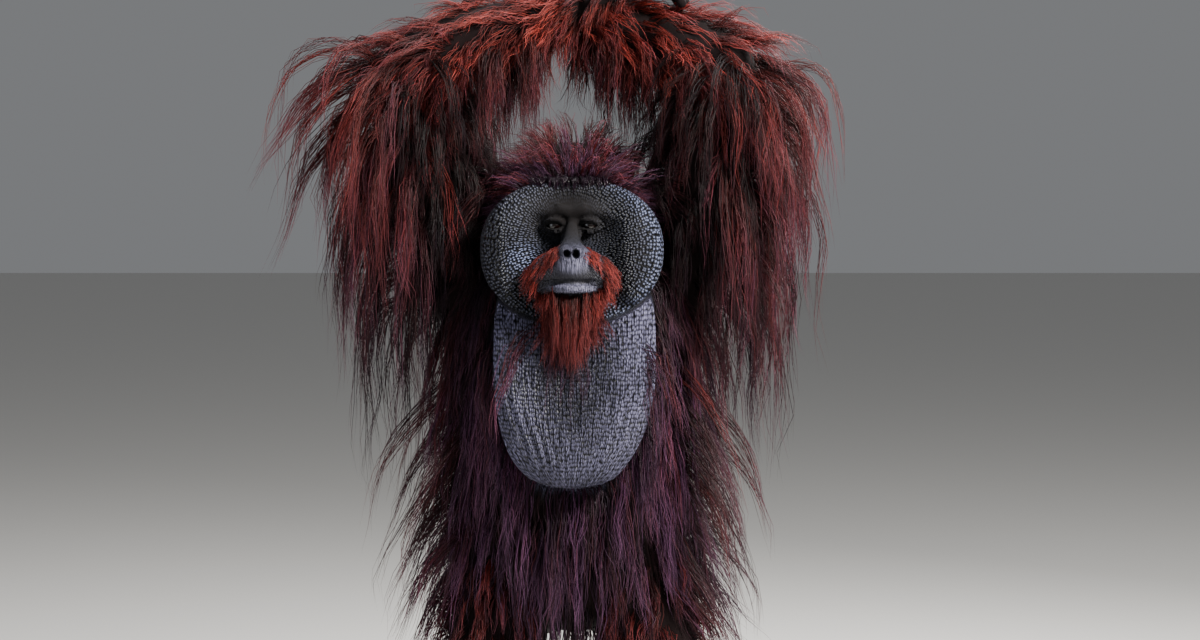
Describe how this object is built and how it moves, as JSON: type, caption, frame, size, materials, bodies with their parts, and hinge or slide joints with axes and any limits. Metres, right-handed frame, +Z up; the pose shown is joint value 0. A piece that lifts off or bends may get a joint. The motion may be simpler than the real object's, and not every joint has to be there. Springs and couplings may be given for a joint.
{
  "type": "orangutan",
  "caption": "Life-size still model of an adult flanged male orangutan, standing upright with both arms raised and the forearms crossed above the head.",
  "frame": {"origin": "on the floor, under the middle of the whole animal's box", "axes": "+Z up; the animal faces -Y and its left side is at +X"},
  "size_m": [1.0024, 0.5034, 1.5605],
  "materials": {
    "skin_face": "satin",
    "skin_limb": "matte",
    "coat_red": "matte",
    "coat_maroon": "matte",
    "coat_purple": "matte",
    "beard": "matte",
    "eye": "gloss"
  },
  "bodies": {
    "root": {"eye_left": "eye", "eye_right": "eye", "cheek_pad_left": "skin_face", "cheek_pad_right": "skin_face", "head": "skin_face", "ear_left": "skin_face", "ear_right": "skin_face", "beard": "beard", "throat_sac": "skin_face", "torso": "coat_purple", "upper_arm_left": "coat_maroon", "upper_arm_right": "coat_maroon", "forearm_left": "coat_red", "forearm_right": "coat_red", "hand_left": "skin_limb", "hand_right": "skin_limb", "thigh_left": "coat_maroon", "thigh_right": "coat_maroon", "lower_leg_left": "coat_maroon", "lower_leg_right": "coat_maroon", "foot_left": "skin_limb", "foot_right": "skin_limb"}
  },
  "joints": []
}
